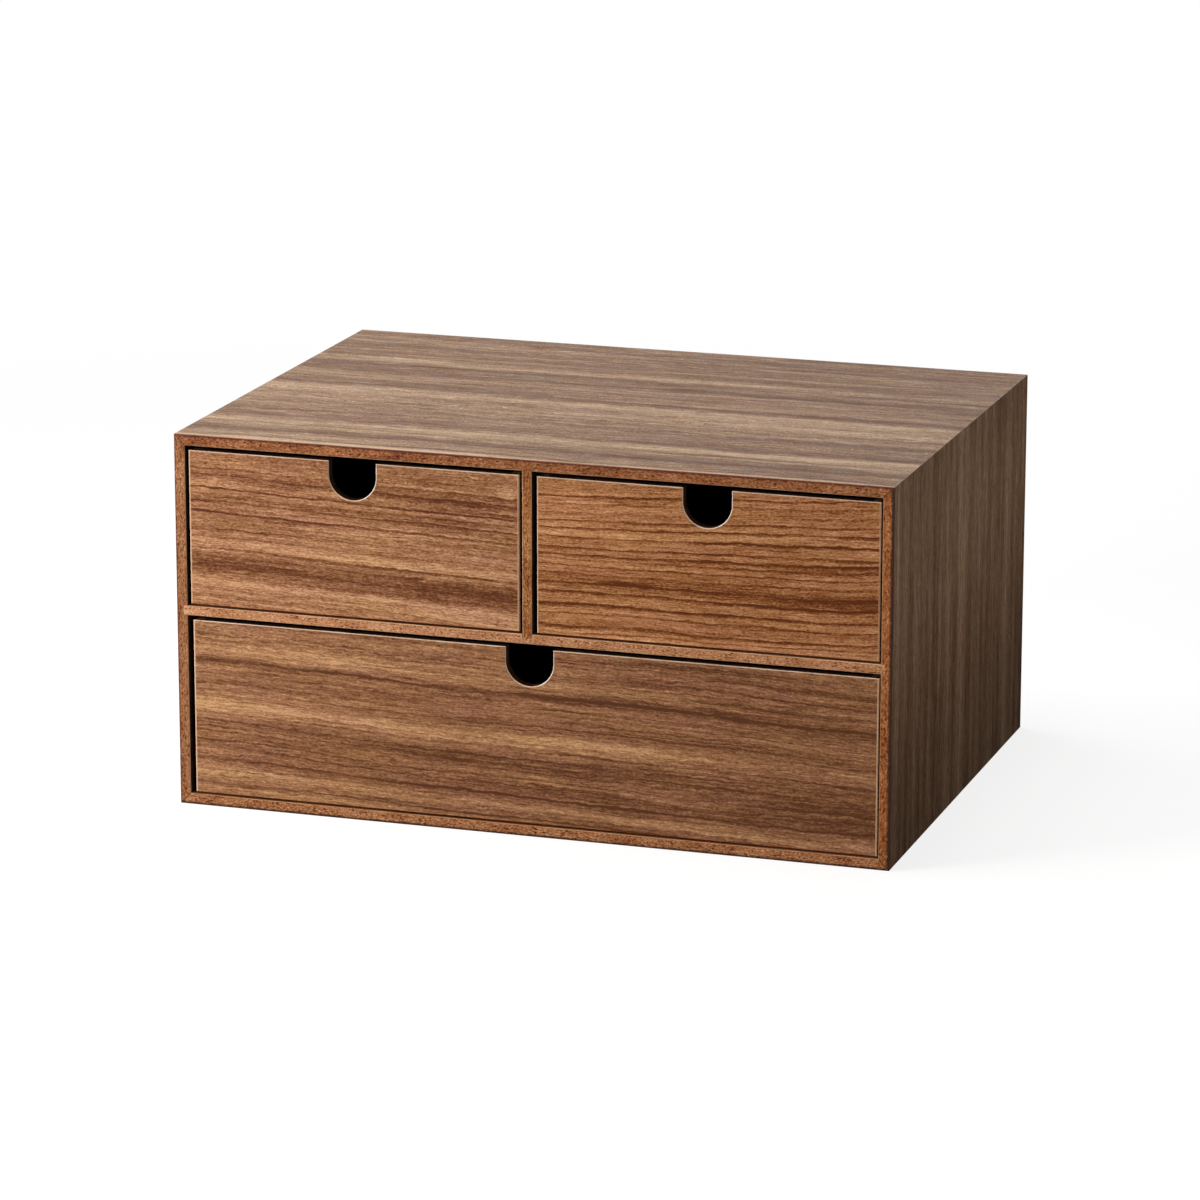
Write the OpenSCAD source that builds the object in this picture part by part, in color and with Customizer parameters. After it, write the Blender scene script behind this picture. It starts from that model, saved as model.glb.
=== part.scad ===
// Desktop mini drawers: a mitred cabinet of veneered board with two small drawers over one wide drawer.
// Frame: origin under the middle of the cabinet, +X to the right, +Y to the back, +Z up.

/* [Cabinet] */
// Width of the cabinet
body_w = 360; // [280:1:460]
// Depth of the cabinet
body_d = 260; // [200:1:340]
// Height of the cabinet
body_h = 186; // [160:1:240]
// Thickness of the top, bottom and sides
board_t = 5.5; // [4:0.1:10]
// Thickness of the middle shelf and the divider
inner_t = 4.8; // [4:0.1:8]
// Clear height of the bay for the lower drawer
lower_bay_h = 90.3; // [60:0.1:100]
// How deep the shelf and the divider are housed in the boards they meet
housing_d = 2; // [1:0.1:3]
// Eased arris along the edges of the cabinet boards
arris = 0.3; // [0.1:0.1:0.8]

/* [Back panel] */
// Thickness of the back panel, which lies flush in a rebate
back_t = 3; // [2:0.1:6]
// Width of the rebate in each board behind which the back panel laps
back_lap = 2.7; // [1:0.1:3.5]

/* [Drawer boxes] */
// Thickness of the drawer fronts
front_t = 5.5; // [4:0.1:10]
// Thickness of the drawer sides
side_t = 5; // [4:0.1:8]
// Thickness of the drawer backs
drawer_back_t = 5; // [4:0.1:8]
// Thickness of the drawer bases
base_t = 2.5; // [2:0.1:4]
// Height of each drawer base above the lower edges of the drawer sides
base_lift = 4; // [2:0.1:10]
// Depth of the grooves that hold the drawer bases
groove_d = 2.5; // [1:0.1:3]
// Thickness of the lip of each drawer front that covers the ends of its sides
front_lip_t = 2.7; // [1.5:0.1:3.5]
// Depth of the rebate in each drawer side that holds the drawer back
corner_rebate_d = 2.5; // [1:0.1:3]
// Bevel round the face of each drawer front and along its finger notch
bevel = 0.4; // [0.2:0.1:1.5]
// Eased arris along the top and bottom edges of the drawer sides and backs
box_arris = 0.4; // [0.1:0.1:1]

/* [Finger notches] */
// Width of each finger notch
notch_w = 24; // [16:0.5:40]
// Height of the straight part of each finger notch, above its round end
notch_straight = 6.8; // [2:0.1:20]

/* [Clearances] */
// Gap beside each drawer, on either side, when it stands in the middle of its bay
side_gap = 1.7; // [1:0.1:4]
// How far to the right of the middle of its bay the left drawer stands
left_drawer_shift = -0.1; // [-0.9:0.1:0.9]
// How far to the right of the middle of its bay the right drawer stands
right_drawer_shift = 0.6; // [-0.9:0.1:0.9]
// How far to the right of the middle of its bay the lower drawer stands
lower_drawer_shift = 0.8; // [-0.9:0.1:0.9]
// Gap above each drawer
top_gap = 2.4; // [1:0.1:6]
// Gap under each drawer front, whose drawer slides on the edges of its sides and back
front_gap = 0.7; // [0.2:0.1:2]
// How far the drawer fronts lie behind the front edges of the cabinet
front_recess = 1; // [0:0.1:5]
// Play of the back panel and the drawer bases in their rebates and grooves
panel_play = 0.1; // [0.05:0.05:0.4]

/* [Hidden] */
veneer_colour = "#966A4B";
dark_veneer_colour = "#5F4C3B";
pale_veneer_colour = "#9C806D";
edge_colour = "#A06C48";
box_colour = "#8A5F42";

// Bays between the boards: heights above the floor, clear heights, clear widths and middles
shelf_z = board_t + lower_bay_h;
upper_bay_z = shelf_z + inner_t;
upper_bay_h = body_h - board_t - upper_bay_z;
lower_bay_w = body_w - 2 * board_t;
upper_bay_w = (lower_bay_w - inner_t) / 2;
upper_bay_x = (upper_bay_w + inner_t) / 2;
// Front edges of the boards, and the front face of the back panel
front_y = -body_d / 2;
panel_y = body_d / 2 - back_t;

// Outer sizes of the drawers, and the height of the grooves for their bases
drawer_d = body_d - back_t - front_recess;
upper_drawer_w = upper_bay_w - 2 * side_gap;
upper_drawer_h = upper_bay_h - top_gap;
lower_drawer_w = lower_bay_w - 2 * side_gap;
lower_drawer_h = lower_bay_h - top_gap;
groove_h = base_t + panel_play;

// Overrun of each cut beyond the face it starts from
over = 1;
// Number of steps round the finger notch
notch_fn = 96;

// ---- Outlines ----

// One corner of an outline, cut at 45 degrees by c, or left sharp where c is 0
function corner(p, before, after, c) = c > 0 ? [p + c * before, p + c * after] : [p];

// A rectangle from lo to hi, with cuts at its corners: lower left, lower right, upper right, upper left
function eased_rectangle(lo, hi, cuts) = concat(
    corner(lo, [0, 1], [1, 0], cuts[0]),
    corner([hi[0], lo[1]], [-1, 0], [0, 1], cuts[1]),
    corner(hi, [0, -1], [-1, 0], cuts[2]),
    corner([lo[0], hi[1]], [1, 0], [0, -1], cuts[3])
);

// Runs an outline drawn in X and Z from y0 to y1
module run_along_y(y0, y1) {
    translate([0, y1, 0])
        rotate([90, 0, 0])
            linear_extrude(y1 - y0)
                children();
}

// Runs an outline drawn in Y and Z from x0 to x1
module run_along_x(x0, x1) {
    translate([x0, 0, 0])
        rotate([90, 0, 90])
            linear_extrude(x1 - x0)
                children();
}

// Runs an outline drawn in X and Y from z0 to z1
module run_along_z(z0, z1) {
    translate([0, 0, z0])
        linear_extrude(z1 - z0)
            children();
}

// A plain block between two opposite corners
module block(lo, hi) {
    translate(lo)
        cube(hi - lo);
}

// ---- Cabinet boards ----

// A board that lies flat with its outer face up at z = 0, mitred at both ends, rebated behind
module mitred_board(length) {
    half = length / 2;
    difference() {
        intersection() {
            run_along_y(-body_d / 2, body_d / 2)
                polygon([
                    [-half + arris, 0],
                    [-half + arris / 2, -arris / 2],
                    [-half + board_t, -board_t],
                    [half - board_t, -board_t],
                    [half - arris / 2, -arris / 2],
                    [half - arris, 0]
                ]);
            run_along_x(-half, half)
                polygon(eased_rectangle([-body_d / 2, -board_t], [body_d / 2, 0], [arris, 0, arris, arris]));
        }
        block([-half, panel_y, -board_t - over], [half, body_d / 2 + over, -board_t + back_lap]);
    }
}

// A side board, standing on the right, with the housing for the shelf
module side_board() {
    difference() {
        translate([body_w / 2, 0, body_h / 2])
            rotate([0, 90, 0])
                mitred_board(body_h);
        block(
            [lower_bay_w / 2 - over, front_y - over, shelf_z],
            [lower_bay_w / 2 + housing_d, panel_y, upper_bay_z]
        );
    }
}

module top_panel() {
    color(pale_veneer_colour)
        difference() {
            translate([0, 0, body_h])
                mitred_board(body_w);
            block(
                [-inner_t / 2, front_y - over, body_h - board_t - over],
                [inner_t / 2, panel_y, body_h - board_t + housing_d]
            );
        }
}

module bottom_panel() {
    color(edge_colour)
        mirror([0, 0, 1])
            mitred_board(body_w);
}

module right_side_panel() {
    color(dark_veneer_colour)
        side_board();
}

module left_side_panel() {
    color(dark_veneer_colour)
        mirror([1, 0, 0])
            side_board();
}

module back_panel() {
    reach = back_lap - panel_play;
    color(box_colour)
        block(
            [-lower_bay_w / 2 - reach, panel_y, board_t - reach],
            [lower_bay_w / 2 + reach, body_d / 2, body_h - board_t + reach]
        );
}

module middle_shelf() {
    half = lower_bay_w / 2 + housing_d;
    color(edge_colour)
        difference() {
            run_along_x(-half, half)
                polygon(eased_rectangle(
                    [front_y, shelf_z], [panel_y, upper_bay_z], [arris, 0, 0, arris]
                ));
            block(
                [-inner_t / 2, front_y - over, upper_bay_z - housing_d],
                [inner_t / 2, panel_y + over, upper_bay_z + over]
            );
        }
}

module centre_divider() {
    color(edge_colour)
        run_along_z(upper_bay_z - housing_d, body_h - board_t + housing_d)
            polygon(eased_rectangle(
                [-inner_t / 2, front_y], [inner_t / 2, panel_y], [arris, arris, 0, 0]
            ));
}

// ---- Drawer pieces ----
// Drawn with the front face at y = 0, the lowest edge at z = 0 and the middle at x = 0.

// A finger notch through a front whose top edge is at z = h, with its bevel at the face
module notch_cut(h) {
    r = notch_w / 2;
    centre_z = h - notch_straight;
    run_along_y(-over, front_t + over) {
        translate([0, centre_z])
            circle(r = r, $fn = notch_fn);
        translate([-r, centre_z])
            square([notch_w, notch_straight + over]);
    }
    translate([0, 0, centre_z])
        rotate([-90, 0, 0])
            cylinder(h = bevel, r1 = r + bevel, r2 = r, $fn = notch_fn);
    run_along_z(centre_z, h + over)
        polygon([[-r - bevel, 0], [r + bevel, 0], [r, bevel], [-r, bevel]]);
}

module drawer_front(w, h) {
    half = w / 2;
    inner_half = half - side_t;
    color(veneer_colour)
        difference() {
            intersection() {
                run_along_z(front_gap, h)
                    polygon(eased_rectangle([-half, 0], [half, front_t], [bevel, bevel, 0, 0]));
                run_along_x(-half, half)
                    polygon(eased_rectangle([0, front_gap], [front_t, h], [bevel, 0, box_arris, bevel]));
            }
            for (end = [0, 1])
                mirror([end, 0, 0])
                    block([inner_half, front_lip_t, -over], [half + over, front_t + over, h + over]);
            block(
                [-inner_half - over, front_t - groove_d, base_lift],
                [inner_half + over, front_t + over, base_lift + groove_h]
            );
            notch_cut(h);
        }
}

// The drawer side on the right
module drawer_side(w, h) {
    half = w / 2;
    inner_half = half - side_t;
    color(box_colour)
        difference() {
            run_along_y(front_lip_t, drawer_d)
                polygon(eased_rectangle([inner_half, 0], [half, h], box_arris * [1, 1, 1, 1]));
            block(
                [inner_half - over, drawer_d - drawer_back_t, -over],
                [inner_half + corner_rebate_d, drawer_d + over, h + over]
            );
            block(
                [inner_half - over, front_lip_t - over, base_lift],
                [inner_half + groove_d, drawer_d + over, base_lift + groove_h]
            );
        }
}

module drawer_back(w, h) {
    half = w / 2 - side_t + corner_rebate_d;
    inner_y = drawer_d - drawer_back_t;
    color(box_colour)
        difference() {
            run_along_x(-half, half)
                polygon(eased_rectangle([inner_y, 0], [drawer_d, h], box_arris * [1, 1, 1, 1]));
            block(
                [-half - over, inner_y - over, base_lift],
                [half + over, inner_y + groove_d, base_lift + groove_h]
            );
        }
}

module drawer_base(w) {
    reach = groove_d - panel_play;
    half = w / 2 - side_t + reach;
    color(box_colour)
        block(
            [-half, front_t - reach, base_lift],
            [half, drawer_d - drawer_back_t + reach, base_lift + base_t]
        );
}

// ---- Drawers in their bays ----

module in_left_bay() {
    translate([left_drawer_shift - upper_bay_x, front_y + front_recess, upper_bay_z])
        children();
}

module in_right_bay() {
    translate([right_drawer_shift + upper_bay_x, front_y + front_recess, upper_bay_z])
        children();
}

module in_lower_bay() {
    translate([lower_drawer_shift, front_y + front_recess, board_t])
        children();
}

module left_drawer_front() {
    in_left_bay()
        drawer_front(upper_drawer_w, upper_drawer_h);
}

module left_drawer_left_side() {
    in_left_bay()
        mirror([1, 0, 0])
            drawer_side(upper_drawer_w, upper_drawer_h);
}

module left_drawer_right_side() {
    in_left_bay()
        drawer_side(upper_drawer_w, upper_drawer_h);
}

module left_drawer_back() {
    in_left_bay()
        drawer_back(upper_drawer_w, upper_drawer_h);
}

module left_drawer_base() {
    in_left_bay()
        drawer_base(upper_drawer_w);
}

module right_drawer_front() {
    in_right_bay()
        drawer_front(upper_drawer_w, upper_drawer_h);
}

module right_drawer_left_side() {
    in_right_bay()
        mirror([1, 0, 0])
            drawer_side(upper_drawer_w, upper_drawer_h);
}

module right_drawer_right_side() {
    in_right_bay()
        drawer_side(upper_drawer_w, upper_drawer_h);
}

module right_drawer_back() {
    in_right_bay()
        drawer_back(upper_drawer_w, upper_drawer_h);
}

module right_drawer_base() {
    in_right_bay()
        drawer_base(upper_drawer_w);
}

module lower_drawer_front() {
    in_lower_bay()
        drawer_front(lower_drawer_w, lower_drawer_h);
}

module lower_drawer_left_side() {
    in_lower_bay()
        mirror([1, 0, 0])
            drawer_side(lower_drawer_w, lower_drawer_h);
}

module lower_drawer_right_side() {
    in_lower_bay()
        drawer_side(lower_drawer_w, lower_drawer_h);
}

module lower_drawer_back() {
    in_lower_bay()
        drawer_back(lower_drawer_w, lower_drawer_h);
}

module lower_drawer_base() {
    in_lower_bay()
        drawer_base(lower_drawer_w);
}

top_panel();
bottom_panel();
left_side_panel();
right_side_panel();
back_panel();
middle_shelf();
centre_divider();
left_drawer_front();
left_drawer_left_side();
left_drawer_right_side();
left_drawer_back();
left_drawer_base();
right_drawer_front();
right_drawer_left_side();
right_drawer_right_side();
right_drawer_back();
right_drawer_base();
lower_drawer_front();
lower_drawer_left_side();
lower_drawer_right_side();
lower_drawer_back();
lower_drawer_base();
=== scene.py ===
"""Looks of the desktop mini drawers: walnut veneer, board edges, camera and a plain studio.

Lengths are in metres, as in the frame, but the wood shaders work in millimetres of the object's own frame.
Object frame: +X to the right, +Y to the back, +Z up, and the drawer fronts face -Y.
"""
import math
from dataclasses import dataclass, field

import bpy
from mathutils import Matrix, Vector


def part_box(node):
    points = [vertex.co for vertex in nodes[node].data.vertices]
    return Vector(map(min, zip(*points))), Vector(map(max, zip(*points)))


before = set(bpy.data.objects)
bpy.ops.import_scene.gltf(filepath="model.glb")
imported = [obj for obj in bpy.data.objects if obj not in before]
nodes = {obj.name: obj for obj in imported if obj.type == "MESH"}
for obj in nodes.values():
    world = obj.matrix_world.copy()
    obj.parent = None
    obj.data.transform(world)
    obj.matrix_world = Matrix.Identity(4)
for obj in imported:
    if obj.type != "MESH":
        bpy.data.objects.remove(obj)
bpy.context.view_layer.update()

MM = 0.001
X, Y, Z = 0, 1, 2


def srgb(text):
    """A colour written as six hex digits, as the linear RGBA that shaders take."""
    channels = [int(text[i:i + 2], 16) / 255 for i in (0, 2, 4)]
    linear = [c / 12.92 if c <= 0.04045 else ((c + 0.055) / 1.055) ** 2.4 for c in channels]
    return (*linear, 1.0)


def grey(value):
    return (value, value, value, 1.0)


def palette(text):
    """Colours from the darkest to the palest, written as hex digits."""
    return [srgb(shade) for shade in text.split()]


# ---- Camera, fitted to the edges of the cabinet in the 1200 x 1200 photograph ----

AZIMUTH = math.radians(18.023)
ELEVATION = math.radians(14.603)
ROLL = math.radians(0.042)
DISTANCE = 2.5535       # from the point in the plane of the fronts that the camera aims at
AIM_RIGHT = 0.03652
AIM_UP = 0.12054
FOCAL_PX = 5390
IMAGE_PX = 1200
SENSOR_MM = 36
FARTHEST_SEEN = 50      # where the camera's view ends


def make_camera():
    back = Vector((
        math.sin(AZIMUTH) * math.cos(ELEVATION),
        -math.cos(AZIMUTH) * math.cos(ELEVATION),
        math.sin(ELEVATION),
    ))
    level = Vector((math.cos(AZIMUTH), math.sin(AZIMUTH), 0))
    upright = back.cross(level)
    right = math.cos(ROLL) * level + math.sin(ROLL) * upright
    up = math.cos(ROLL) * upright - math.sin(ROLL) * level
    front_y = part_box("top_panel")[0].y
    camera = bpy.data.objects.new("camera", bpy.data.cameras.new("camera"))
    camera.data.sensor_width = SENSOR_MM
    camera.data.lens = SENSOR_MM * FOCAL_PX / IMAGE_PX
    camera.data.clip_end = FARTHEST_SEEN
    aim = Vector((AIM_RIGHT, front_y, AIM_UP))
    turn = Matrix((right, up, back)).transposed().to_4x4()
    camera.matrix_world = Matrix.Translation(aim + DISTANCE * back) @ turn
    bpy.context.scene.collection.objects.link(camera)
    bpy.context.scene.camera = camera


# ---- Shader building ----

NOISE_SD = 0.11     # standard deviation of Blender's noise, which varies round 0.5
MIX_COLOURS = 6, 7  # inputs of Blender's Mix node for its two colours
MIXED_COLOUR = 2    # and its output for the mixed one


class Shader:
    """A material and short calls that add nodes to it. An input is a socket, a number or a tuple."""

    def __init__(self, name):
        self.material = bpy.data.materials.new(name)
        self.material.use_nodes = True
        self.tree = self.material.node_tree
        self.tree.nodes.clear()
        place = self.add("ShaderNodeTexCoord").outputs["Object"]
        scaled = self.add("ShaderNodeVectorMath", operation="SCALE")
        self.feed(scaled.inputs[0], place)
        scaled.inputs["Scale"].default_value = 1 / MM
        split = self.add("ShaderNodeSeparateXYZ")
        self.feed(split.inputs[0], scaled.outputs[0])
        self.axes = list(split.outputs)

    def add(self, kind, **settings):
        node = self.tree.nodes.new(kind)
        for name, value in settings.items():
            setattr(node, name, value)
        return node

    def feed(self, socket, value):
        if isinstance(value, bpy.types.NodeSocket):
            self.tree.links.new(value, socket)
        else:
            socket.default_value = value

    def math(self, operation, *values):
        node = self.add("ShaderNodeMath", operation=operation)
        for socket, value in zip(node.inputs, values):
            self.feed(socket, value)
        return node.outputs[0]

    def total(self, first, *rest):
        for value in rest:
            first = self.math("ADD", first, value)
        return first

    def scaled(self, value, factor):
        return self.math("MULTIPLY", value, factor)

    def vector(self, x, y, z):
        node = self.add("ShaderNodeCombineXYZ")
        for socket, value in zip(node.inputs, (x, y, z)):
            self.feed(socket, value)
        return node.outputs[0]

    def stretched(self, along, across, run, spread, seed):
        """Where to read a noise whose features are run long and spread wide."""
        return self.vector(self.scaled(along, 1 / run), self.scaled(across, 1 / spread), seed)

    def noise(self, vector, detail=1.0, roughness=0.5):
        """Smooth noise from 0 to 1, with features about one unit of vector across."""
        node = self.add("ShaderNodeTexNoise")
        self.feed(node.inputs["Vector"], vector)
        node.inputs["Scale"].default_value = 1.0
        node.inputs["Detail"].default_value = detail
        node.inputs["Roughness"].default_value = roughness
        return node.outputs[0]

    def uneven(self, vector, deviation, **settings):
        """Noise round zero with the given standard deviation."""
        gain = deviation / NOISE_SD
        return self.math("MULTIPLY_ADD", self.noise(vector, **settings), gain, -gain / 2)

    def ramp(self, factor, stops, interpolation="LINEAR"):
        """A colour ramp from (position, colour or grey value) stops."""
        node = self.add("ShaderNodeValToRGB")
        self.feed(node.inputs[0], factor)
        elements = node.color_ramp.elements
        node.color_ramp.interpolation = interpolation
        while len(elements) < len(stops):
            elements.new(1.0)
        for element, (position, value) in zip(elements, stops):
            element.position = position
            element.color = value if isinstance(value, tuple) else grey(value)
        return node.outputs[0]

    def shades(self, tone, colours):
        """The palette's colour at tone, from 0 for the first to 1 for the last."""
        steps = len(colours) - 1
        return self.ramp(tone, [(i / steps, shade) for i, shade in enumerate(colours)])

    def span(self, value, low, high, to_low=0.0, to_high=1.0):
        """value taken from low..high to to_low..to_high, and held there."""
        node = self.add("ShaderNodeMapRange", clamp=True)
        for socket, number in zip(node.inputs, (value, low, high, to_low, to_high)):
            self.feed(socket, number)
        return node.outputs[0]

    def mix(self, factor, a, b, blend="MIX"):
        node = self.add("ShaderNodeMix", data_type="RGBA", blend_type=blend)
        self.feed(node.inputs[0], factor)
        for socket, colour in zip(MIX_COLOURS, (a, b)):
            self.feed(node.inputs[socket], colour)
        return node.outputs[MIXED_COLOUR]

    def bump(self, height, depth_mm):
        node = self.add("ShaderNodeBump")
        node.inputs["Distance"].default_value = depth_mm * MM
        self.feed(node.inputs["Height"], height)
        return node.outputs[0]

    def finish(self, colour, roughness, normal, specular):
        surface = self.add("ShaderNodeBsdfPrincipled")
        self.feed(surface.inputs["Base Color"], colour)
        self.feed(surface.inputs["Roughness"], roughness)
        self.feed(surface.inputs["Normal"], normal)
        surface.inputs["Specular IOR Level"].default_value = specular
        output = self.add("ShaderNodeOutputMaterial")
        self.tree.links.new(surface.outputs[0], output.inputs[0])
        return self.material


# ---- Veneer ----

GOLDEN = (1.0, 1.0, 0.86, 1)
PINKISH = (1.02, 0.98, 1.0, 1)
GREENISH = (0.98, 1.0, 0.94, 1)
ROSY = (1.03, 0.98, 1.02, 1)
# Colour of the pale rim beside each end of a drawer front: painted highlight along the arris
PAINTED_HIGHLIGHT_RIM = srgb("E4B48C")
HIGHLIGHT_RIM_DEPTH = 0.65, 1.0    # mm from the end of a drawer front where its painted highlight rim fades


@dataclass
class Leaf:
    """A leaf of veneer. Lengths are in mm, and amounts of unevenness are standard deviations."""
    name: str
    along: int                  # axis of the object that the grain runs along
    across: int                 # axis that the grain varies across
    extent: tuple               # lowest and highest place across
    seed: float
    colours: list               # from the darkest to the palest wood
    bands: list = field(default_factory=lambda: [(0.0, 0.5), (1.0, 0.5)])   # (share of extent, tone)
    lines: tuple = ()           # (share of extent, width, strength) of thin dark lines
    slopes: tuple = (0.0, 0.0)  # climb of the grain per mm along, at the lowest and highest place across
    middle: float = 0.0         # place along the grain where the shares hold
    bow: tuple = (0.0, 0.0)     # rise of the grain 100 mm from there, at the lowest and highest place
    bend: float = 1.0           # bends about 200 mm long
    wave: float = 0.32          # waves about 45 mm long
    ripple: float = 0.18        # ripples about 7 mm long
    crinkle: tuple = (0.0, 0.0, 0.0)    # (share, share, amount) of curly ripples between two shares
    patches: tuple = ()         # (place along from the middle, share, half length, half width, tone)
    drift: float = 0.0          # change of tone in 100 mm along; where set, it darkens the leaf towards the right, painted shade of the light falling off
    contrast: float = 1.0       # of the bands and lines
    streaks: float = 0.08       # broad and narrow streaks
    rings: float = 0.3          # darkening at the end of each growth ring
    ring_gap: float = 4.0
    veins: float = 0.2          # darkness of the thin looping lines
    hairlines: float = 0.08     # darkness of the long thin straight lines
    fibres: float = 0.085
    speckle: float = 0.1
    pores: float = 0.25
    tints: tuple = (GOLDEN, PINKISH)
    painted_highlight_rims: tuple = ()          # (place along, direction into the leaf, strength) of pale rims at the ends: painted highlight along the arris
    roughness: float = 0.5
    specular: float = 0.12


CURL_FADE = 0.04        # share of a leaf's extent within which its curly ripples begin and end


class Grain:
    """Places in a leaf of veneer: noise is laid out along its bent grain."""

    def __init__(self, s, leaf):
        self.s, self.leaf = s, leaf
        self.along, straight = s.axes[leaf.along], s.axes[leaf.across]
        self.across = straight
        self.offset = s.math("SUBTRACT", self.along, leaf.middle)
        hundreds = s.scaled(self.offset, 1 / 100)
        squared = s.math("MULTIPLY", hundreds, hundreds)
        rise = s.math("MULTIPLY", squared, s.span(straight, *leaf.extent, *leaf.bow))
        climb = s.math("MULTIPLY_ADD", self.offset, s.span(straight, *leaf.extent, *leaf.slopes), rise)
        self.across = s.total(
            s.math("SUBTRACT", straight, climb),
            self.uneven(200, 60, leaf.bend, 0.0),
            self.uneven(45, 13, leaf.wave, 3.1),
            self.uneven(7, 2.6, leaf.ripple, 5.7, detail=2),
        )
        if leaf.crinkle[2]:
            self.across = s.math("ADD", self.across, self.curl(*leaf.crinkle))

    def curl(self, first, last, deviation):
        """Curly ripples across the grain, between two shares of the leaf's extent."""
        s = self.s
        share = s.span(self.across, *self.leaf.extent)
        started = s.span(share, first - CURL_FADE, first + CURL_FADE)
        unfinished = s.span(share, last - CURL_FADE, last, 1.0, 0.0)
        within = s.math("MULTIPLY", started, unfinished)
        return s.math("MULTIPLY", self.uneven(14, 6, deviation, 7.3), within)

    def place(self, run, spread, shift):
        """Where to read a noise with features run long and spread wide. The shift sets it apart."""
        return self.s.stretched(self.along, self.across, run, spread, self.leaf.seed + shift)

    def noise(self, run, spread, shift, **settings):
        return self.s.noise(self.place(run, spread, shift), **settings)

    def uneven(self, run, spread, deviation, shift, **settings):
        return self.s.uneven(self.place(run, spread, shift), deviation, **settings)


LINES_PER_RAMP = 7      # a colour ramp takes 32 stops, and each line four
RIM_PLACE = 0.45        # of a line's pale rim and of its end, in widths above its darkest place
LINE_END = 1.3
RIM_STRENGTH = 0.06     # of the rim, as a share of the line's

# Where a noise goes from the first number to the second, a figure goes from the third to the fourth.
LINE_PRESENCE = 0.32, 0.6, 0.7, 1.25
VEIN_PRESENCE = 0.42, 0.62, 0.0, 1.0
RING_PRESENCE = 0.36, 0.66, 0.05, 1.2


def line_stops(lines, extent):
    """Ramp stops round 0.5: each line darkens slowly from below and ends sharply in a pale rim."""
    stops = []
    for share, width, strength in sorted(lines):
        step = width / (extent[1] - extent[0])
        stops += [
            (share - step, 0.5),
            (share, 0.5 - strength / 2),
            (share + RIM_PLACE * step, 0.5 + RIM_STRENGTH * strength),
            (share + LINE_END * step, 0.5),
        ]
    return sorted(stops)


def band_tone(grain):
    """Broad bands and thin dark lines, which come and go along the board."""
    s, leaf = grain.s, grain.leaf
    share = s.span(grain.across, *leaf.extent)
    tone = s.math("SUBTRACT", s.ramp(share, leaf.bands, "CARDINAL"), 0.5)
    if leaf.lines:
        presence = s.span(grain.noise(60, 5, 9.2), *LINE_PRESENCE)
    for first in range(0, len(leaf.lines), LINES_PER_RAMP):
        stops = line_stops(leaf.lines[first:first + LINES_PER_RAMP], leaf.extent)
        line = s.math("SUBTRACT", s.ramp(share, stops), 0.5)
        tone = s.math("ADD", tone, s.math("MULTIPLY", line, presence))
    return s.scaled(tone, leaf.contrast)


VEIN_HALF_WIDTH = 0.022     # of the noise, either side of its middle


def vein_tone(grain):
    """Thin dark lines in long, narrow loops, where a stretched noise crosses its middle."""
    s, leaf = grain.s, grain.leaf
    off = s.math("ABSOLUTE", s.math("SUBTRACT", grain.noise(170, 4.2, 51.3), 0.5))
    presence = s.span(grain.noise(50, 4, 53.9), *VEIN_PRESENCE)
    vein = s.span(off, 0.0, VEIN_HALF_WIDTH, 1.0, 0.0)
    return s.scaled(s.math("MULTIPLY", vein, presence), -leaf.veins)


def patch_tone(grain):
    """Darker or paler patches drawn out along the grain, and a slow drift from end to end, which is painted
    shade: darker towards the right, where the light falls off.
    """
    s, leaf = grain.s, grain.leaf
    low, high = leaf.extent
    tone = s.scaled(grain.offset, leaf.drift / 100)
    for offset, share, length, width, strength in leaf.patches:
        run = s.scaled(s.math("SUBTRACT", grain.offset, offset), 1 / length)
        rise = s.scaled(s.math("SUBTRACT", grain.across, low + share * (high - low)), 1 / width)
        far = s.math("ADD", s.math("MULTIPLY", run, run), s.math("MULTIPLY", rise, rise))
        tone = s.math("ADD", tone, s.span(far, 0.0, 1.0, strength, 0.0))
    return tone


# (share of the ring, darkness)
RING_STOPS = [(0.0, 0.18), (0.12, 0.0), (0.5, 0.12), (0.84, 1.0), (0.93, 0.75), (1.0, 0.18)]
MEAN_RING = 0.2     # mean darkness, which is taken off so that rings leave the tone as it is


def ring_tone(grain):
    """Growth rings: each darkens slowly and ends sharply, and comes and goes along the board."""
    s, leaf = grain.s, grain.leaf
    turn = s.total(s.scaled(grain.across, 1 / leaf.ring_gap), grain.uneven(320, 24, 0.45, 17.9, detail=2))
    ring = s.ramp(s.math("FRACT", turn), RING_STOPS)
    presence = s.span(grain.noise(70, 6, 19.3, detail=2), *RING_PRESENCE)
    return s.scaled(s.math("SUBTRACT", s.math("MULTIPLY", ring, presence), MEAN_RING), -leaf.rings)


NARROW_STREAKS = 0.8            # of the broad ones
SHORT_STREAKS = 0.6
HAIRLINE_NOISE = 0.5, 0.66      # from no hairline to a whole one
PORE_NOISE = 0.66, 0.76
TINT_NOISE = 0.3, 0.7           # from the first tint to the second
UNEVEN_ROUGHNESS = 0.04
PORE_ROUGHNESS = 0.2            # added in a pore
VENEER_RELIEF = 0.2             # mm


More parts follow.
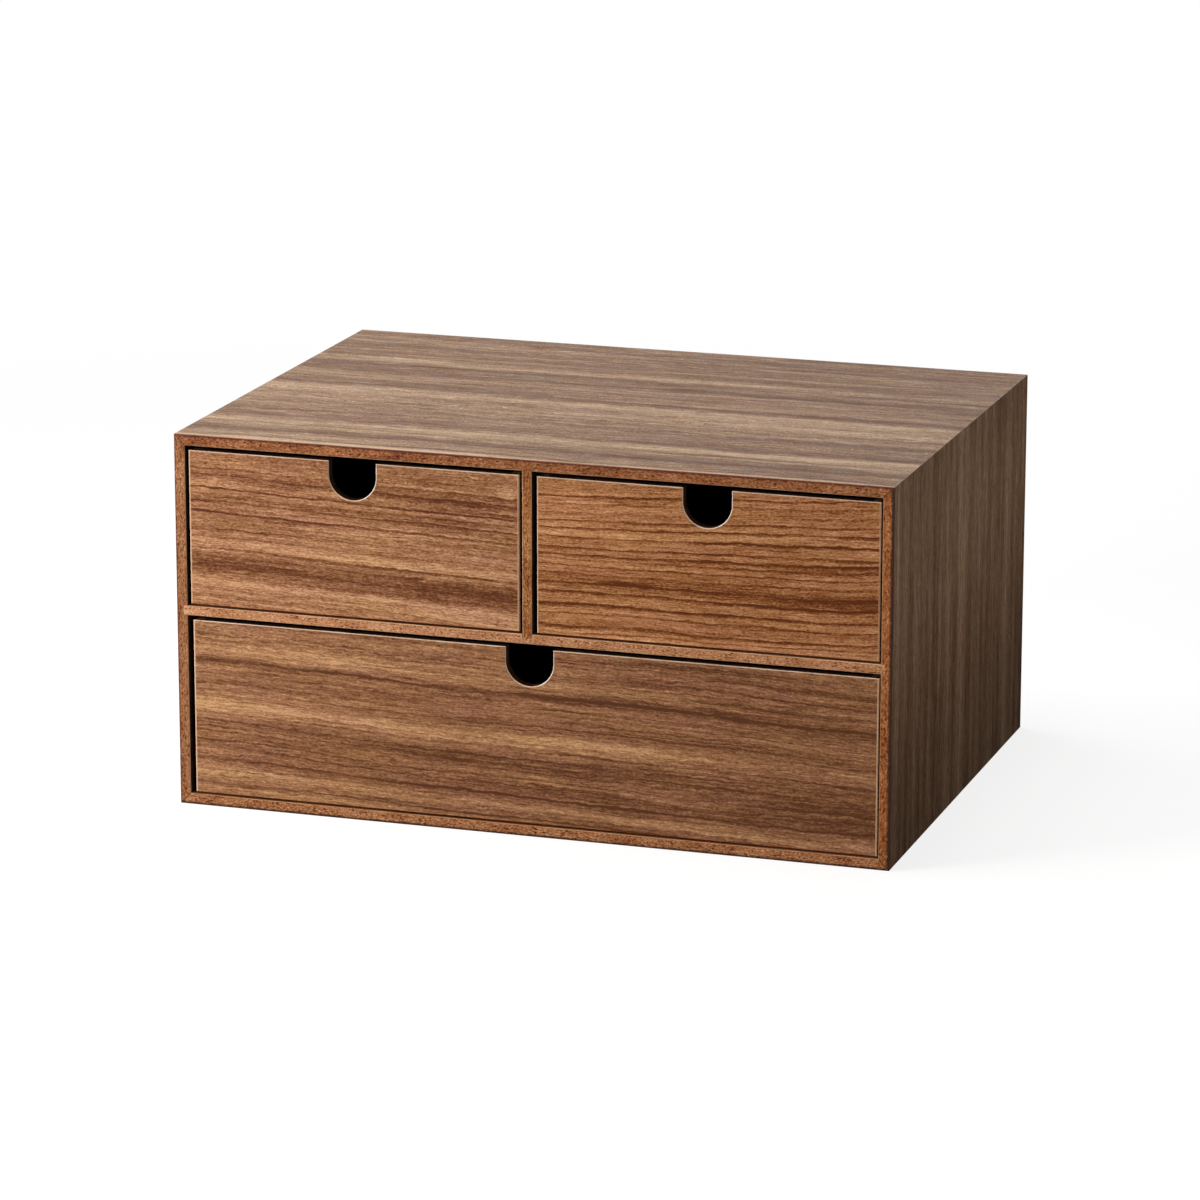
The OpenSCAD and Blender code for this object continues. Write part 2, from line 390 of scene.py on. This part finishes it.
def veneer(leaf):
    """Material of a leaf. Each noise starts with the length and the width of its features in mm."""
    s = Shader(leaf.name)
    grain = Grain(s, leaf)
    broad = grain.uneven(210, 8, leaf.streaks, 11.3, detail=2)
    narrow = grain.uneven(70, 1.3, leaf.streaks * NARROW_STREAKS, 13.9, detail=3, roughness=0.7)
    short = grain.uneven(18, 1.3, leaf.streaks * SHORT_STREAKS, 15.1, detail=1)
    hairline = s.span(grain.noise(90, 0.9, 61.7, detail=1), *HAIRLINE_NOISE, 0.0, -leaf.hairlines)
    fibres = grain.uneven(6, 0.55, leaf.fibres, 29.9, detail=1)
    speckle = grain.uneven(1.5, 0.6, leaf.speckle, 33.3, detail=1)
    pore = s.span(grain.noise(3.5, 0.35, 31.1), *PORE_NOISE)
    figure = s.total(band_tone(grain), patch_tone(grain), ring_tone(grain), vein_tone(grain))
    pores = s.scaled(pore, -leaf.pores)
    tone = s.total(0.5, figure, broad, narrow, short, hairline, fibres, speckle, pores)
    colour = s.shades(tone, leaf.colours)
    tint = s.mix(s.span(grain.noise(55, 9, 41.7, detail=2), *TINT_NOISE), *leaf.tints)
    colour = s.mix(1.0, colour, tint, "MULTIPLY")
    # Pale rims beside the ends of a drawer front: painted highlight
    for end, inward, strength in leaf.painted_highlight_rims:
        depth = s.scaled(s.math("SUBTRACT", grain.along, end), inward)
        colour = s.mix(s.span(depth, *HIGHLIGHT_RIM_DEPTH, strength, 0.0), colour, PAINTED_HIGHLIGHT_RIM)
    matt = s.scaled(pore, PORE_ROUGHNESS)
    shine = s.total(leaf.roughness, grain.uneven(30, 6, UNEVEN_ROUGHNESS, 37.3), matt)
    height = s.total(fibres, speckle, s.scaled(narrow, 0.5), s.scaled(pore, -0.5))
    return s.finish(colour, shine, s.bump(height, VENEER_RELIEF), leaf.specular)


FRONT_COLOURS = palette("5A301A 7C4C2F A06F4F C28F6C E2B28A")
WARM_COLOURS = palette("5A2C0E 864E28 AE774F CE956B F0BA8E")
BROWN_COLOURS = palette("5C3620 7C5136 9D6E4F BB8B66 DEAE82")
TOP_COLOURS = palette("583A24 72523B 8D6E53 A78A6C C8A98C")
# Darker and greyer than the top: partly the veneer's own tone, partly painted shade of the right side. Both
# sides take it.
SIDE_COLOURS = palette("50382A 694E3A 826650 9A7C64 B6987C")
# Near black, darker than the drawers' boards: painted shade inside the closed bays (walls, roof, inside of
# the back board)
BAY_COLOURS = palette("140C08 1E130D 2A1C14 36261C 453327")
DRAWER_COLOURS = palette("3E2618 583A28 6E4C36 845F46 9C7A5E")
BACK_COLOURS = palette("4A2F1F 634430 7C5840 94705A B08E76")


def extent(name, axis):
    low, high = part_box(name)
    return low[axis] / MM, high[axis] / MM


def middle(name, axis):
    return sum(extent(name, axis)) / 2


def highlight_rim_ends(name, left, right):
    """The ends of a drawer front, with how strong the painted highlight rim beside each is."""
    low, high = extent(name, X)
    return (low, 1, left), (high, -1, right)


def left_front():
    return veneer(Leaf(
        "veneer_left_drawer", X, Z, extent("left_drawer_front", Z), 14.37, FRONT_COLOURS,
        bands=[(0.0, 0.6), (0.05, 0.66), (0.1, 0.74), (0.135, 0.8), (0.18, 0.4), (0.28, 0.32), (0.32, 0.5),
               (0.39, 0.72), (0.45, 0.6), (0.56, 0.58), (0.62, 0.58), (0.7, 0.6), (0.775, 0.62),
               (0.83, 0.45), (0.88, 0.52), (0.93, 0.56), (1.0, 0.52)],
        lines=((0.235, 1.6, 0.4), (0.305, 1.0, 0.4), (0.357, 1.3, 0.9), (0.44, 0.8, 0.35), (0.5, 0.8, 0.3),
               (0.545, 0.8, 0.25), (0.6, 1.2, 1.1), (0.669, 1.1, 0.8), (0.71, 0.8, 0.3), (0.75, 1.0, 1.6),
               (0.83, 0.9, 0.4), (0.875, 0.9, 0.5)),
        patches=((52, 0.81, 40, 2.6, -0.25), (-37, 0.81, 32, 3.2, -0.16), (-45, 0.66, 20, 3.0, 0.1),
                 (60, 0.24, 45, 5.0, -0.1), (78, 0.92, 7, 4.0, 0.3)),
        slopes=(-0.045, -0.025), middle=middle("left_drawer_front", X), contrast=1.1, rings=0.15,
        ring_gap=5.3, streaks=0.07, hairlines=0.12, painted_highlight_rims=highlight_rim_ends("left_drawer_front", 0.7, 0.75),
    ))


def right_front():
    return veneer(Leaf(
        "veneer_right_drawer", X, Z, extent("right_drawer_front", Z), 19.61, WARM_COLOURS,
        bands=[(0.0, 0.6), (0.1, 0.5), (0.15, 0.58), (0.22, 0.5), (0.3, 0.35), (0.36, 0.4), (0.44, 0.52),
               (0.55, 0.5), (0.65, 0.58), (0.75, 0.6), (0.85, 0.58), (0.92, 0.62), (1.0, 0.5)],
        lines=((0.015, 0.9, 0.5), (0.055, 1.5, 0.9), (0.138, 1.2, 0.7), (0.2, 1.6, 1.0), (0.277, 1.6, 1.0),
               (0.34, 1.1, 0.6), (0.405, 1.0, 0.5), (0.465, 1.0, 0.55), (0.515, 1.0, 0.55), (0.55, 1.5, 0.9),
               (0.595, 1.2, 0.85), (0.67, 1.3, 1.2), (0.735, 1.3, 1.1), (0.785, 1.0, 0.8), (0.84, 0.9, 0.4),
               (0.9, 1.1, 0.6), (0.95, 1.2, 0.8)),
        patches=((63, 0.345, 34, 3.6, -0.12), (-40, 0.35, 16, 1.6, -0.5), (-35, 0.93, 28, 3.0, -0.2)),
        # drift: painted shade, darker towards the right end
        drift=-0.06, slopes=(0.02, 0.06), middle=middle("right_drawer_front", X), bow=(2.4, 0.4),
        contrast=1.15, rings=0.12, ring_gap=2.3, streaks=0.06, hairlines=0.06,
        painted_highlight_rims=highlight_rim_ends("right_drawer_front", 0.3, 0.4),
    ))


def lower_front():
    return veneer(Leaf(
        "veneer_lower_drawer", X, Z, extent("lower_drawer_front", Z), 25.43, BROWN_COLOURS,
        bands=[(0.0, 0.5), (0.04, 0.45), (0.09, 0.76), (0.15, 0.42), (0.22, 0.45), (0.3, 0.42), (0.4, 0.45),
               (0.465, 0.76), (0.52, 0.52), (0.62, 0.51), (0.7, 0.52), (0.745, 0.35), (0.8, 0.63),
               (0.88, 0.5), (0.94, 0.6), (1.0, 0.5)],
        lines=((0.03, 1.1, 0.7), (0.165, 1.4, 0.8), (0.22, 1.0, 0.5), (0.257, 1.0, 0.55), (0.33, 0.9, 0.45),
               (0.37, 0.9, 0.4), (0.42, 0.8, 0.35), (0.56, 1.0, 0.5), (0.6, 0.8, 0.4), (0.66, 0.8, 0.4),
               (0.743, 1.5, 0.9), (0.82, 0.9, 0.35), (0.88, 1.0, 0.5), (0.955, 1.1, 0.5)),
        patches=((130, 0.81, 55, 3.0, -0.25), (130, 0.94, 55, 2.2, -0.3), (95, 0.99, 60, 2.0, -0.25),
                 (140, 0.24, 60, 7.0, -0.15), (-120, 0.8, 50, 5.0, 0.12), (20, 0.2, 70, 2.5, -0.1)),
        # drift: painted shade, darker towards the right end
        drift=-0.05, slopes=(-0.03, -0.027), middle=middle("lower_drawer_front", X), contrast=1.05,
        ripple=0.25, rings=0.15, ring_gap=2.9, streaks=0.07, speckle=0.09, hairlines=0.2,
        painted_highlight_rims=highlight_rim_ends("lower_drawer_front", 0.95, 1.0),
    ))


def top_face():
    return veneer(Leaf(
        "veneer_top", X, Y, extent("top_panel", Y), 2.71, TOP_COLOURS,
        bands=[(0.0, 0.95), (0.012, 0.75), (0.02, 0.45), (0.055, 0.6), (0.08, 0.25), (0.12, 0.5),
               (0.165, 0.75), (0.2, 0.4), (0.26, 0.45), (0.35, 0.52), (0.44, 0.62), (0.48, 0.68),
               (0.508, 0.25), (0.52, 0.4), (0.56, 0.42), (0.61, 0.52), (0.644, 0.28), (0.67, 0.4),
               (0.7, 0.35), (0.73, 0.7), (0.76, 0.36), (0.8, 0.4), (0.9, 0.38), (1.0, 0.42)],
        lines=((0.02, 1.2, 0.5), (0.08, 2.2, 0.6), (0.135, 1.5, 0.5), (0.2, 1.5, 0.55), (0.3, 1.0, 0.2),
               (0.508, 1.6, 0.6), (0.575, 1.4, 0.3), (0.644, 1.8, 0.45), (0.7, 1.4, 0.4), (0.76, 1.2, 0.4)),
        # drift: painted shade, darker towards the right
        drift=-0.03, slopes=(-0.005, -0.005), contrast=1.1, bend=1.0, wave=0.7, ripple=0.35,
        crinkle=(0.22, 0.49, 0.9), streaks=0.12, rings=0.15, ring_gap=7.0, veins=0.15, hairlines=0.1,
        fibres=0.1, speckle=0.12, pores=0.1, tints=(GREENISH, ROSY), roughness=0.45, specular=0.1,
    ))


def side_face(name, seed, bands):
    return veneer(Leaf(
        name, Z, Y, extent("right_side_panel", Y), seed, SIDE_COLOURS, bands,
        contrast=0.6, bend=1.0, wave=0.4, streaks=0.09, rings=0.08, ring_gap=14.0, veins=0.06,
        fibres=0.08, speckle=0.05, pores=0.1, tints=(GREENISH, ROSY), roughness=0.6, specular=0.0,
    ))


def inside_face(name, along, across, seed, colours):
    return veneer(Leaf(
        name, along, across, (0.0, 1.0), seed, colours, ripple=0.2, rings=0.1, ring_gap=6.0,
        veins=0.1, fibres=0.04, speckle=0.03, pores=0.1, roughness=0.7, specular=0.02,
    ))


# ---- Edges of boards ----

CORE_COLOURS = palette("5A2810 824C28 A16D48 BE8B63 E2B894")
DEEP_CORE_COLOURS = palette("481A04 743C1A 9A613A BA8258 E0AE86")
PALE_CORE_COLOURS = palette("582408 864C26 AE754C D0986C F8C8A2")
ORANGE_CORE_COLOURS = palette("542004 804218 A4683A C68E56 F0C08C")
REDDISH_CORE_COLOURS = palette("5E2006 88461C A86838 C68856 F0BA8A")
SHELF_COLOURS = palette("703C18 A46A40 C68A60 DEA880 F8D0AC")
FLOOR_COLOURS = palette("2E1A0E 4A2E1C 66452E 805A40 9A7254")
BOX_COLOURS = palette("4A2A16 63402A 7C563C 946E50 B08C6C")
# Pale: painted highlight on the end edges of the drawer fronts, which sit in the shaded side gaps
END_EDGE_HIGHLIGHT_COLOURS = palette("A87850 C69A72 DDB48E ECCAA8 F8DEC4")
# Near black: painted shade on the top and bottom edges and notch walls of the drawer fronts, which sit in
# the gaps
DARK_COLOURS = palette("1C0C08 26120C 321B12 42261A 563424")
# Pale arris palettes: partly the eased edge's thin stain, partly painted highlight
ARRIS_COLOURS = palette("CEA284 EECDB0 FAE8D6")
# Near white: painted highlight on the notch's arrises that turn left
NOTCH_ARRIS_COLOURS = palette("E8D2C0 FBEFE4 FFFAF5")
# Pale: partly painted highlight on the boards' inner arrises
INNER_ARRIS_COLOURS = palette("9A6A46 C89A74 E6C3A2")
# Paler still: painted highlight on the shelf's arrises that turn down, away from the light
SHELF_ARRIS_COLOURS = palette("B88660 E0B690 F6DCC0")
# Pale: painted highlight on drawer-front arrises that turn right, away from the light
BROWN_ARRIS_COLOURS = palette("C88E5C ECBE94 FADCC0")
# Darker and redder: painted shade on the drawer-front arrises that turn down
LOW_ARRIS_COLOURS = palette("8A3C14 B4582A D07A44")
CORE_ARRIS_COLOURS = palette("84563A B07A50 CC9A6E")
REDDISH_ARRIS_COLOURS = palette("4A2012 6E3A24 925A3E")
# Near black: partly the dark veneer edge, partly painted shade on the outer arrises of the bottom and right
# boards
DARK_ARRIS_COLOURS = palette("140A06 24140C 3C261A")

EDGE_ROUGHNESS = 0.62
EDGE_RELIEF = 0.3       # mm
EDGE_SPECULAR = 0.15
ARRIS_RELIEF = 0.1      # mm
ARRIS_SPECULAR = 0.3
LINE_CORE = 0.6         # shares of the veneer line's width where it starts to fade and where it ends
LINE_FADE = 1.3
SEAM_WIDTH = 0.2, 0.55  # mm from a mitre where its dark seam starts to fade and where it ends
SEAM_STRENGTH = 0.85
WARM_CORE = (1.05, 0.95, 0.9, 1)
COOL_CORE = (0.98, 1.02, 1.04, 1)
CORE_NOISE = 0.35, 0.65     # from the warm core to the cool one
FLECK_NOISE = 0.6, 0.7      # from no dark fleck to a whole one
FLECK_DARKNESS = 0.5


@dataclass
class Edge:
    """The cut edge of a cabinet board. Lengths are in mm."""
    name: str
    seed: float
    along: int                  # axis that the edge runs along
    across: int
    outer: float                # place of the veneered outer face across
    inward: int                 # direction from there into the board
    line: tuple                 # width and strength of the dark edge of the outer veneer
    line_colour: tuple
    mitre_colour: tuple
    ends: tuple                 # lowest and highest place of the mitred ends along
    colours: list = field(default_factory=lambda: CORE_COLOURS)


def fibreboard(s, along, across, seed):
    """Tone of stained fibreboard: specks about a millimetre long on broader patches."""
    def place(run, spread, shift):
        return s.stretched(s.axes[along], s.axes[across], run, spread, seed + shift)

    specks = s.uneven(place(1.2, 0.7, 0.0), 0.18, detail=2, roughness=0.6)
    flecks = s.scaled(s.span(s.noise(place(2.2, 0.9, 7.7)), *FLECK_NOISE), -FLECK_DARKNESS)
    patches = s.uneven(place(14, 5, 3.3), 0.07, detail=2)
    return specks, s.total(0.5, specks, flecks, patches)


def edge_finish(s, colour, specks):
    """Material of a cut edge, whose specks are rougher and stand out."""
    shine = s.math("ADD", specks, EDGE_ROUGHNESS)
    return s.finish(colour, shine, s.bump(specks, EDGE_RELIEF), EDGE_SPECULAR)


def cut_edge(edge):
    """Stained fibreboard with the dark line of the outer veneer and a seam at each mitre."""
    s = Shader(edge.name)
    along, across = s.axes[edge.along], s.axes[edge.across]
    specks, tone = fibreboard(s, edge.along, edge.across, edge.seed)
    place = s.stretched(along, across, 2.5, 1.25, edge.seed + 5.1)
    tint = s.mix(s.span(s.noise(place), *CORE_NOISE), WARM_CORE, COOL_CORE)
    colour = s.mix(1.0, s.shades(tone, edge.colours), tint, "MULTIPLY")
    depth = s.scaled(s.math("SUBTRACT", across, edge.outer), edge.inward)
    ragged = s.math("ADD", depth, s.uneven(place, 0.2, detail=2))
    width, strength = edge.line
    line = s.span(ragged, width * LINE_CORE, width * LINE_FADE, strength, 0.0)
    colour = s.mix(line, colour, edge.line_colour)
    low, high = edge.ends
    to_end = s.math("MINIMUM", s.math("SUBTRACT", along, low), s.math("SUBTRACT", high, along))
    seam = s.span(s.math("SUBTRACT", to_end, depth), *SEAM_WIDTH, SEAM_STRENGTH, 0.0)
    return edge_finish(s, s.mix(seam, colour, edge.mitre_colour), specks)


def plain_edge(name, seed, along, across, colours):
    """Cut edge with no veneer line, such as that of the shelf or a drawer's boards."""
    s = Shader(name)
    specks, tone = fibreboard(s, along, across, seed)
    return edge_finish(s, s.shades(tone, colours), specks)


def arris(name, seed, colours, roughness=0.5):
    """Eased edge, where the stain is thin and uneven along its length. Its palettes also carry painted
    highlight and painted shade, by which way the arris turns.
    """
    s = Shader(name)

    def place(run):
        return s.vector(*(s.math("MULTIPLY_ADD", axis, 1 / run, seed) for axis in s.axes))

    wear = s.uneven(place(9), 0.14, detail=2)
    fine = s.uneven(place(1.1), 0.1, detail=2)
    colour = s.shades(s.total(0.5, wear, fine), colours)
    return s.finish(colour, s.math("ADD", fine, roughness), s.bump(fine, ARRIS_RELIEF), ARRIS_SPECULAR)


def board_edges():
    """Materials of the cut edges and arrises, by the names that the dressing uses."""
    left, right = extent("left_side_panel", X)[0], extent("right_side_panel", X)[1]
    low, high = extent("bottom_panel", Z)[0], extent("top_panel", Z)[1]
    reddish, dark, purple = srgb("5E2C1A"), srgb("2E160C"), srgb("4E261C")
    return {
        "edge_top": cut_edge(Edge(
            "edge_top_board", 11.43, X, Z, high, -1, (1.1, 1.0), reddish, purple, (left, right),
            DEEP_CORE_COLOURS)),
        # Bottom and right boards: a darker, wider veneer line, partly the veneer's edge and partly painted
        # shade
        "edge_bottom": cut_edge(Edge(
            "edge_bottom_board", 17.79, X, Z, low, 1, (1.2, 0.95), dark, reddish, (left, right),
            PALE_CORE_COLOURS)),
        "edge_left": cut_edge(Edge(
            "edge_left_board", 23.17, Z, X, left, 1, (0.8, 0.8), reddish, reddish, (low, high))),
        "edge_right": cut_edge(Edge(
            "edge_right_board", 29.53, Z, X, right, -1, (1.6, 0.95), dark, purple, (low, high),
            REDDISH_CORE_COLOURS)),
        "edge_shelf": plain_edge("edge_shelf", 37.9, X, Z, SHELF_COLOURS),
        "edge_divider": plain_edge("edge_divider", 43.3, Z, X, ORANGE_CORE_COLOURS),
        "edge_box": plain_edge("edge_drawer_board", 47.1, X, Y, BOX_COLOURS),
        "edge_front": plain_edge("edge_drawer_front", 49.3, X, Y, DARK_COLOURS),
        "edge_raw": plain_edge("edge_raw", 50.9, Z, Y, END_EDGE_HIGHLIGHT_COLOURS),
        "front_arris": arris("arris_front", 51.7, ARRIS_COLOURS),
        "notch_arris": arris("arris_notch", 51.1, NOTCH_ARRIS_COLOURS),
        "brown_arris": arris("arris_brown", 52.9, BROWN_ARRIS_COLOURS),
        "low_arris": arris("arris_low", 54.1, LOW_ARRIS_COLOURS),
        "core_arris": arris("arris_core", 54.7, CORE_ARRIS_COLOURS),
        "inner_arris": arris("arris_inner", 53.9, INNER_ARRIS_COLOURS),
        "shelf_arris": arris("arris_shelf", 55.3, SHELF_ARRIS_COLOURS),
        "reddish_arris": arris("arris_reddish", 57.1, REDDISH_ARRIS_COLOURS),
        "dark_arris": arris("arris_dark", 58.7, DARK_ARRIS_COLOURS, 0.8),
    }


def make_materials():
    return {
        "top": top_face(),
        "right_side": side_face(
            "veneer_right_side", 5.29,
            [(0.0, 0.5), (0.2, 0.42), (0.38, 0.45), (0.41, 0.75), (0.45, 0.5), (0.5, 0.78), (0.56, 0.5),
             (0.7, 0.55), (0.8, 0.35), (0.84, 0.6), (1.0, 0.5)],
        ),
        "left_side": side_face(
            "veneer_left_side", 8.83,
            [(0.0, 0.5), (0.15, 0.65), (0.3, 0.35), (0.45, 0.6), (0.6, 0.5), (0.7, 0.3), (0.8, 0.6),
             (1.0, 0.5)],
        ),
        "bottom": inside_face("veneer_bottom", X, Y, 11.9, DRAWER_COLOURS),
        "left_front": left_front(),
        "right_front": right_front(),
        "lower_front": lower_front(),
        "bay_side": inside_face("bay_side", Y, Z, 31.7, BAY_COLOURS),
        "bay_roof": inside_face("bay_roof", X, Y, 33.1, BAY_COLOURS),
        "bay_floor": inside_face("bay_floor", X, Y, 34.3, FLOOR_COLOURS),
        "back_inside": inside_face("back_board_inside", X, Z, 34.9, BAY_COLOURS),
        "back_outside": inside_face("back_board_outside", X, Z, 36.3, BACK_COLOURS),
        "box_side": inside_face("drawer_side", Y, Z, 35.3, DRAWER_COLOURS),
        "box_end": inside_face("drawer_end", X, Z, 37.1, DRAWER_COLOURS),
        "box_base": inside_face("drawer_base", X, Y, 39.1, DRAWER_COLOURS),
        **board_edges(),
    }


# ---- Dressing the boards ----

FLAT = 0.95     # cosine above which a face counts as facing a direction
TURNED = 0.3    # cosine above which an arris of a drawer front counts as turned to a side
SLIGHT = 0.1    # cosine above which a face counts as turned at all


def dress(node, choose, materials):
    """Gives each face of a CAD node the material that choose(normal, middle of the face) names."""
    mesh = nodes[node].data
    mesh.materials.clear()
    slots = []
    for face in mesh.polygons:
        name = choose(face.normal, face.center)
        if name not in slots:
            slots.append(name)
            mesh.materials.append(materials[name])
        face.material_index = slots.index(name)


def board(outward, outer, inner, edge, outer_arris, inner_arris):
    """Faces of a cabinet board: its outer and inner face, its cut edges and its eased arrises."""
    outward = Vector(outward)

    def choose(normal, _):
        facing = normal.dot(outward)
        if abs(facing) > FLAT:
            return outer if facing > 0 else inner
        if abs(normal.y) > FLAT:
            return edge
        return outer_arris if facing > SLIGHT else inner_arris
    return choose


def inner_board(upper, lower, edge):
    """Faces of the shelf, or of the divider, whose sides are alike."""
    def choose(normal, _):
        if abs(normal.y) > FLAT:
            return edge
        if abs(normal.y) > SLIGHT:
            # Arrises turned down get the paler palette: painted highlight
            return "shelf_arris" if normal.z < -SLIGHT else "inner_arris"
        return upper if normal.z > SLIGHT else lower
    return choose


NOTCH_REACH = 13 * MM   # from the middle of a drawer front to beyond its finger notch


def drawer_front(drawer):
    """Faces of a drawer front: its face and back, its edges, and its arrises by where they turn."""
    left, right = (end * MM for end in extent(f"{drawer}_drawer_front", X))

    def choose(normal, place):
        if normal.y < -FLAT:
            return f"{drawer}_front"
        if normal.y > FLAT:
            return "box_end"
        if normal.y > -SLIGHT:
            # Within a millimetre of the ends, edges get the pale palette, painted highlight; the rest the
            # near-black one, painted shade
            return "edge_raw" if min(place.x - left, right - place.x) < MM else "edge_front"
        # Arrises turned down get a darker palette, painted shade; those turned right and round the notch get
        # paler ones, painted highlight
        if normal.z < -TURNED:
            return "low_arris"
        if abs(place.x - (left + right) / 2) < NOTCH_REACH:
            return "notch_arris" if normal.x < -TURNED else "front_arris"
        return "brown_arris" if normal.x > TURNED else "front_arris"
    return choose


def back_board(normal, _):
    if abs(normal.y) < FLAT:
        return "edge_box"
    return "back_outside" if normal.y > 0 else "back_inside"


def dress_carcass(materials):
    lit_arrises = "reddish_arris", "inner_arris"
    shaded_arrises = "dark_arris", "core_arris"
    boards = {
        "top_panel": board((0, 0, 1), "top", "bay_roof", "edge_top", *lit_arrises),
        "bottom_panel": board((0, 0, -1), "bottom", "bay_floor", "edge_bottom", *shaded_arrises),
        "left_side_panel": board((-1, 0, 0), "left_side", "bay_side", "edge_left", *lit_arrises),
        "right_side_panel": board((1, 0, 0), "right_side", "bay_side", "edge_right", *shaded_arrises),
        "middle_shelf": inner_board("bay_floor", "bay_roof", "edge_shelf"),
        "centre_divider": inner_board("bay_side", "bay_side", "edge_divider"),
    }
    for node, choose in boards.items():
        dress(node, choose, materials)
    dress("back_panel", back_board, materials)


def dress_drawer(drawer, materials):
    def side(normal, _):
        return "box_side" if abs(normal.x) > FLAT else "edge_box"

    def end(normal, _):
        return "box_end" if abs(normal.y) > FLAT else "edge_box"

    def base(*_):
        return "box_base"

    dress(f"{drawer}_drawer_front", drawer_front(drawer), materials)
    for part, choose in {"left_side": side, "right_side": side, "back": end, "base": base}.items():
        dress(f"{drawer}_drawer_{part}", choose, materials)


# ---- Studio ----

WHITE = grey(1.0)
AMBIENT = 0.04          # strength of the world's light on the object
FLOOR_BOUNCE = 0.05     # share of the light that the floor sends back to the object
FLOOR_SHADE = 0.3       # how dark the shadow on the floor can be, as a share of white
FLOOR_LIFT = 0.8        # strength of the floor's own white, which only the eye sees
FLOOR_FADE = 0.5, 1.1   # distances from the origin between which the floor fades to pure white
FLOOR_HALF = 6.0
FRONT_MIDDLE = (0, -0.13, 0.09)     # points of the object that the lamps aim at
BACK_MIDDLE = (0, 0.13, 0.09)


def area_lamp(name, place, aim, size, watts, colour="FFFFFF"):
    """A soft lamp at place, turned to aim. Its size is its width and its height."""
    lamp = bpy.data.objects.new(name, bpy.data.lights.new(name, "AREA"))
    lamp.data.shape = "RECTANGLE"
    lamp.data.size, lamp.data.size_y = size
    lamp.data.energy = watts
    lamp.data.color = srgb(colour)[:3]
    lamp.location = place
    lamp.rotation_euler = (Vector(aim) - Vector(place)).to_track_quat("-Z", "Y").to_euler()
    lamp.visible_camera = False
    bpy.context.scene.collection.objects.link(lamp)


def seen_by_eye(tree):
    """1 for camera, glossy and transmission rays, which see the white studio, and 0 for the rest."""
    path = tree.nodes.new("ShaderNodeLightPath")
    value = path.outputs["Is Camera Ray"]
    for name in ("Is Glossy Ray", "Is Transmission Ray"):
        either = tree.nodes.new("ShaderNodeMath")
        either.operation = "MAXIMUM"
        tree.links.new(value, either.inputs[0])
        tree.links.new(path.outputs[name], either.inputs[1])
        value = either.outputs[0]
    return value


def plain_shader(tree, kind, **inputs):
    """A shader with the given numbers and colours on its sockets."""
    node = tree.nodes.new(kind)
    for name, value in inputs.items():
        node.inputs[name].default_value = value
    return node.outputs[0]


def joined(tree, kind, *values):
    """What a node makes of the sockets that are linked to its inputs."""
    node = tree.nodes.new(kind)
    for socket, value in zip(node.inputs, values):
        tree.links.new(value, socket)
    return node.outputs[0]


def make_world():
    scene = bpy.context.scene
    scene.world = bpy.data.worlds.new("studio")
    scene.world.use_nodes = True
    tree = scene.world.node_tree
    tree.nodes.clear()
    plain = plain_shader(tree, "ShaderNodeBackground", Color=WHITE, Strength=AMBIENT)
    white = plain_shader(tree, "ShaderNodeBackground", Color=WHITE)
    mixed = joined(tree, "ShaderNodeMixShader", seen_by_eye(tree), plain, white)
    tree.links.new(mixed, tree.nodes.new("ShaderNodeOutputWorld").inputs[0])
    scene.view_settings.view_transform = "Standard"


def far_away(tree):
    """0 on the floor round the object and 1 far from it."""
    place = tree.nodes.new("ShaderNodeTexCoord").outputs["Object"]
    away = tree.nodes.new("ShaderNodeVectorMath")
    away.operation = "LENGTH"
    tree.links.new(place, away.inputs[0])
    fade = tree.nodes.new("ShaderNodeMapRange")
    fade.inputs["From Min"].default_value, fade.inputs["From Max"].default_value = FLOOR_FADE
    tree.links.new(away.outputs["Value"], fade.inputs["Value"])
    return fade.outputs[0]


def floor_material():
    """Pale floor that the eye sees as white with a soft shadow."""
    material = bpy.data.materials.new("pale_floor")
    material.use_nodes = True
    tree = material.node_tree
    tree.nodes.clear()
    shaded = plain_shader(tree, "ShaderNodeBsdfDiffuse", Color=grey(FLOOR_SHADE))
    lift = plain_shader(tree, "ShaderNodeEmission", Strength=FLOOR_LIFT)
    bright = joined(tree, "ShaderNodeAddShader", shaded, lift)
    white = plain_shader(tree, "ShaderNodeEmission")
    faded = joined(tree, "ShaderNodeMixShader", far_away(tree), bright, white)
    bounce = plain_shader(tree, "ShaderNodeBsdfDiffuse", Color=grey(FLOOR_BOUNCE))
    mixed = joined(tree, "ShaderNodeMixShader", seen_by_eye(tree), bounce, faded)
    tree.links.new(mixed, tree.nodes.new("ShaderNodeOutputMaterial").inputs[0])
    return material


def make_floor():
    corners = [(-FLOOR_HALF, -FLOOR_HALF, 0), (FLOOR_HALF, -FLOOR_HALF, 0),
               (FLOOR_HALF, FLOOR_HALF, 0), (-FLOOR_HALF, FLOOR_HALF, 0)]
    mesh = bpy.data.meshes.new("floor")
    mesh.from_pydata(corners, [], [(0, 1, 2, 3)])
    mesh.materials.append(floor_material())
    floor = bpy.data.objects.new("floor", mesh)
    bpy.context.scene.collection.objects.link(floor)


def make_lamps():
    area_lamp("key", (-0.85, -0.8, 0.40), FRONT_MIDDLE, (0.4, 0.4), 12.0, "FFFAF4")
    area_lamp("fill", (1.1, -1.35, 0.5), FRONT_MIDDLE, (0.6, 0.6), 5.7)
    area_lamp("overhead", (-0.3, 0.05, 1.2), (0, 0, 0.1), (1.0, 1.0), 11.4)
    area_lamp("behind", (0.3, 1.5, 0.4), BACK_MIDDLE, (0.6, 0.6), 3.0)
    area_lamp("side", (0.29, 0.04, 0.15), (0.18, 0.04, 0.15), (0.5, 0.04), 0.106)


make_camera()
materials = make_materials()
dress_carcass(materials)
for drawer in ("left", "right", "lower"):
    dress_drawer(drawer, materials)
make_lamps()
make_world()
make_floor()
